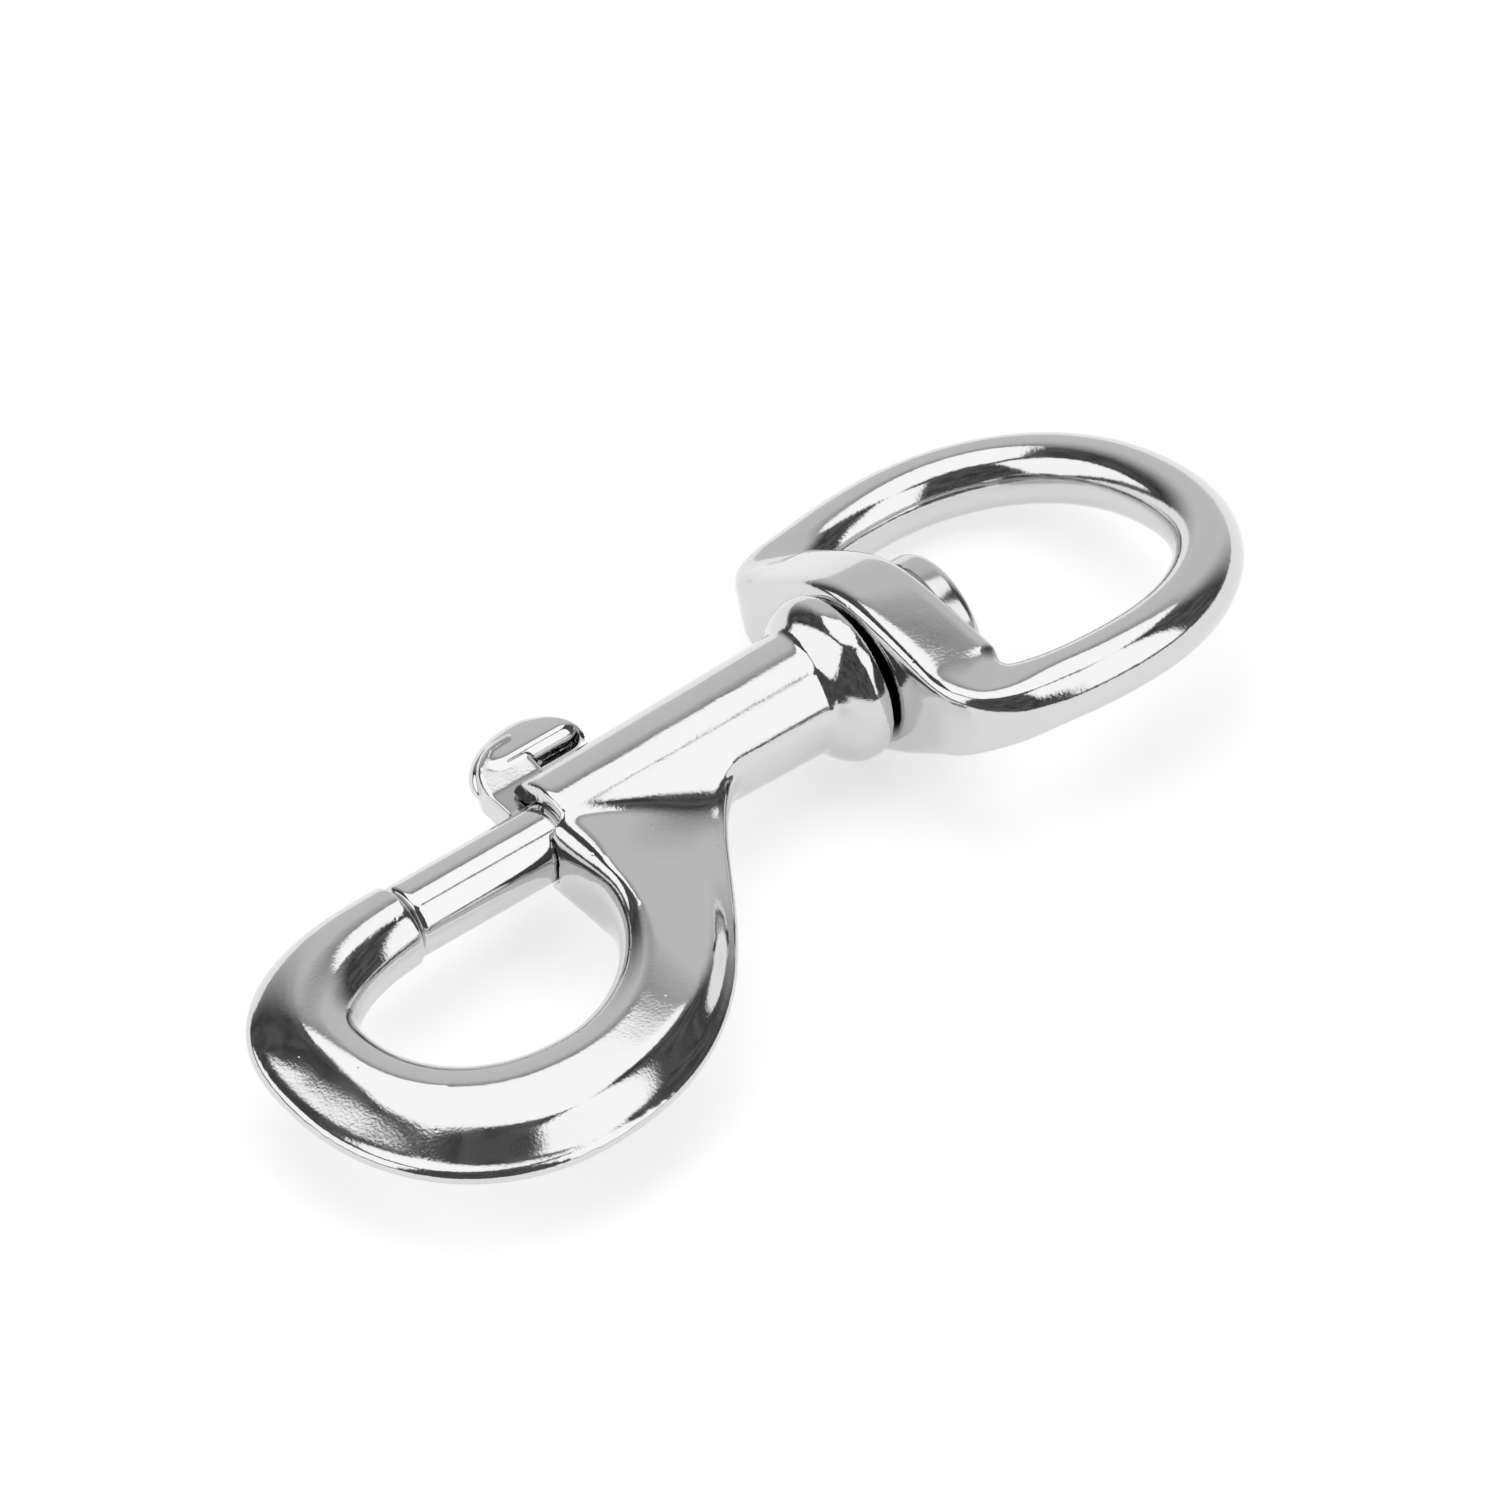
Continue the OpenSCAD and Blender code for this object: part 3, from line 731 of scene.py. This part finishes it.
def addStudio():
    world = bpy.data.worlds.new("studio")
    bpy.context.scene.world = world
    world.use_nodes = True
    tree = world.node_tree
    tree.nodes.clear()
    place = addNode(tree, "ShaderNodeTexCoord")
    split = addNode(tree, "ShaderNodeSeparateXYZ")
    tree.links.new(place.outputs["Generated"], split.inputs["Vector"])
    x, y, z = (split.outputs[axis] for axis in "XYZ")
    degrees = 180 / math.pi
    elevation = calculate(tree, "MULTIPLY", calculate(tree, "ARCSINE", z), degrees)

    def inside(value, edges, soft):
        # 1 between the two edges, falling to 0 over a soft width at each
        off = calculate(tree, "ABSOLUTE", calculate(tree, "SUBTRACT", value, sum(edges) / 2))
        half = (edges[1] - edges[0]) / 2
        return rangeOf(tree, off, half - soft / 2, half + soft / 2, 1.0, 0.0, smooth=True)

    def weighed(first, a, second, b):
        return calculate(tree, "ADD", calculate(tree, "MULTIPLY", first, a), calculate(tree, "MULTIPLY", second, b))

    def azimuthFrom(middle):
        # azimuth in degrees either side of a box's middle, so that no box meets the jump at 180
        turned = addNode(tree, "ShaderNodeVectorRotate", rotation_type="Z_AXIS", Angle=-math.radians(middle))
        tree.links.new(place.outputs["Generated"], turned.inputs["Vector"])
        parts = addNode(tree, "ShaderNodeSeparateXYZ")
        tree.links.new(turned.outputs["Vector"], parts.inputs["Vector"])
        return calculate(tree, "MULTIPLY", calculate(tree, "ARCTAN2", parts.outputs["Y"], parts.outputs["X"]), degrees)

    def uprightBox(box, elevationSoft):
        middle = sum(box["azimuth"]) / 2
        half = (box["azimuth"][1] - box["azimuth"][0]) / 2
        return calculate(tree, "MULTIPLY", inside(azimuthFrom(middle), (-half, half), box["soft"]),
                         inside(elevation, box["elevation"], elevationSoft))

    back = studio["backdrop"]
    tones = addNode(tree, "ShaderNodeValToRGB")
    ramp = tones.color_ramp
    while len(ramp.elements) < len(back["tones"]):
        ramp.elements.new(1.0)
    for stop, (height, tone) in zip(ramp.elements, back["tones"]):
        stop.position = height / 90
        stop.color = (tone, tone, tone, 1)
    tree.links.new(calculate(tree, "DIVIDE", elevation, 90), tones.inputs["Fac"])
    behind = calculate(tree, "MULTIPLY", tones.outputs["Color"], uprightBox(back, 3))
    # the dark gaps between the screens aren't quite even
    room = addNode(tree, "ShaderNodeTexNoise", Scale=studio["gapScale"], Detail=3.0)
    tree.links.new(place.outputs["Generated"], room.inputs["Vector"])
    total = calculate(tree, "MAXIMUM", rangeOf(tree, room.outputs["Fac"], 0.38, 0.62, *studio["gap"]), behind)
    height = calculate(tree, "MAXIMUM", z, 0.05)
    slopeX, slopeY = calculate(tree, "DIVIDE", x, height), calculate(tree, "DIVIDE", y, height)
    turn = math.radians(view["azimuth"])
    right = weighed(slopeX, math.cos(turn), slopeY, -math.sin(turn))
    away = weighed(slopeX, math.sin(turn), slopeY, math.cos(turn))
    for name in ("overhead", "leftBox", "rightBox"):
        screen = studio[name]
        lit = rangeOf(tree, elevation, screen["lowest"] - 1.5, screen["lowest"] + 1.5, smooth=True)
        for a, b, c in screen["lines"]:
            beyond = calculate(tree, "ADD", weighed(right, a, away, b), c)
            lit = calculate(tree, "MULTIPLY", lit,
                            rangeOf(tree, beyond, -screen["soft"] / 2, screen["soft"] / 2, smooth=True))
        total = calculate(tree, "MAXIMUM", total, calculate(tree, "MULTIPLY", lit, screen["bright"]))
    light = addNode(tree, "ShaderNodeBackground", Color=(1, 1, 1, 1))
    tree.links.new(total, light.inputs["Strength"])
    pale = addNode(tree, "ShaderNodeBackground", Color=(1, 1, 1, 1), Strength=studio["pale"])
    path = addNode(tree, "ShaderNodeLightPath")
    mixed = addNode(tree, "ShaderNodeMixShader")
    tree.links.new(path.outputs["Is Camera Ray"], mixed.inputs["Fac"])
    tree.links.new(light.outputs["Background"], mixed.inputs[1])
    tree.links.new(pale.outputs["Background"], mixed.inputs[2])
    output = addNode(tree, "ShaderNodeOutputWorld")
    tree.links.new(mixed.outputs["Shader"], output.inputs["Surface"])


addFloor()
addStudio()
bpy.context.scene.view_settings.view_transform = "Standard"
print("stage 7: floor and studio lit")
